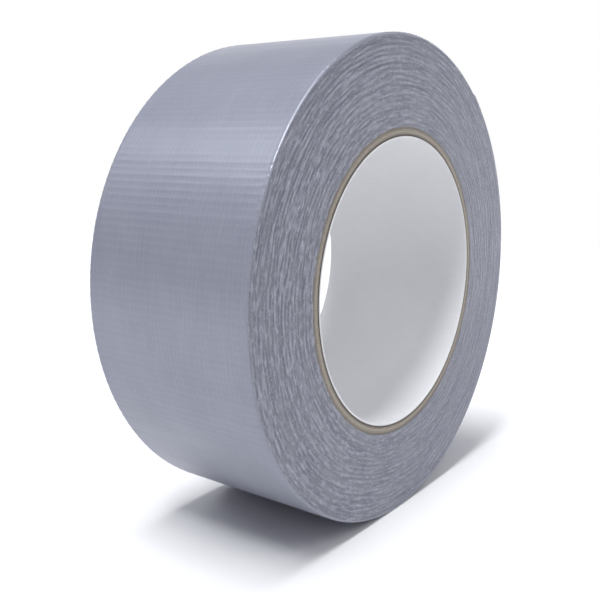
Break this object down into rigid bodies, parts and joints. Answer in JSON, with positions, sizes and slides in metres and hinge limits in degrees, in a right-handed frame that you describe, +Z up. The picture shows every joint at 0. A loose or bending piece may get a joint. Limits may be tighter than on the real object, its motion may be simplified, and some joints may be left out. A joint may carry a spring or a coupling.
{
  "type": "duct tape roll",
  "caption": "Roll of silver-grey cloth-backed duct tape on a kraft board core with a white paper liner, with a free end that peels off the rim.",
  "frame": {"origin": "centre of the core's bore, on the roll's axis and halfway across its width", "axes": "+Y along the roll's axis, +Z up with the roll standing on its rim, +X to the side where the tape's free end lies"},
  "size_m": [0.1286, 0.05, 0.1285],
  "materials": {
    "liner_paper": "smooth white coated paper",
    "kraft_board": "cut edge of brown kraft board",
    "wound_tape": "slit edges of wound film, scrim and adhesive, fine concentric lines",
    "tape_film": "satin silver-grey polyethylene film with a faint weave",
    "scrim": "open cotton weave",
    "adhesive": "tacky pale grey natural rubber adhesive"
  },
  "bodies": {
    "roll": {"core_liner": "liner_paper", "core_kraft_ply_1": "kraft_board", "core_kraft_ply_2": "kraft_board", "core_kraft_ply_3": "kraft_board", "core_kraft_ply_4": "kraft_board", "core_kraft_ply_5": "kraft_board", "wound_tape_pack": "wound_tape", "last_turn_film": "tape_film", "last_turn_scrim": "scrim", "last_turn_adhesive": "adhesive"},
    "tail_1": {"tail_1_film": "tape_film", "tail_1_scrim": "scrim", "tail_1_adhesive": "adhesive"},
    "tail_2": {"tail_2_film": "tape_film", "tail_2_scrim": "scrim", "tail_2_adhesive": "adhesive"},
    "tail_3": {"tail_3_film": "tape_film", "tail_3_scrim": "scrim", "tail_3_adhesive": "adhesive"},
    "tail_4": {"tail_4_film": "tape_film", "tail_4_scrim": "scrim", "tail_4_adhesive": "adhesive"}
  },
  "joints": [
    {"name": "tape_end_peel", "type": "hinge", "parent": "roll", "child": "tail_1", "pos_m": [0.06357, 0, 0.01032], "axis": [0, 1, 0], "range_deg": [0, 90]},
    {"name": "tape_flex_1", "type": "hinge", "parent": "tail_1", "child": "tail_2", "pos_m": [0.06055, 0, 0.02194], "axis": [0, 1, 0], "range_deg": [0, 10.7]},
    {"name": "tape_flex_2", "type": "hinge", "parent": "tail_2", "child": "tail_3", "pos_m": [0.05543, 0, 0.0328], "axis": [0, 1, 0], "range_deg": [0, 10.7]},
    {"name": "tape_flex_3", "type": "hinge", "parent": "tail_3", "child": "tail_4", "pos_m": [0.04838, 0, 0.04252], "axis": [0, 1, 0], "range_deg": [0, 10.7]}
  ],
  "couplings": [
    {"joint": "tape_flex_1", "follows": "tape_end_peel", "ratio": 0.11888},
    {"joint": "tape_flex_2", "follows": "tape_end_peel", "ratio": 0.11888},
    {"joint": "tape_flex_3", "follows": "tape_end_peel", "ratio": 0.11888}
  ]
}
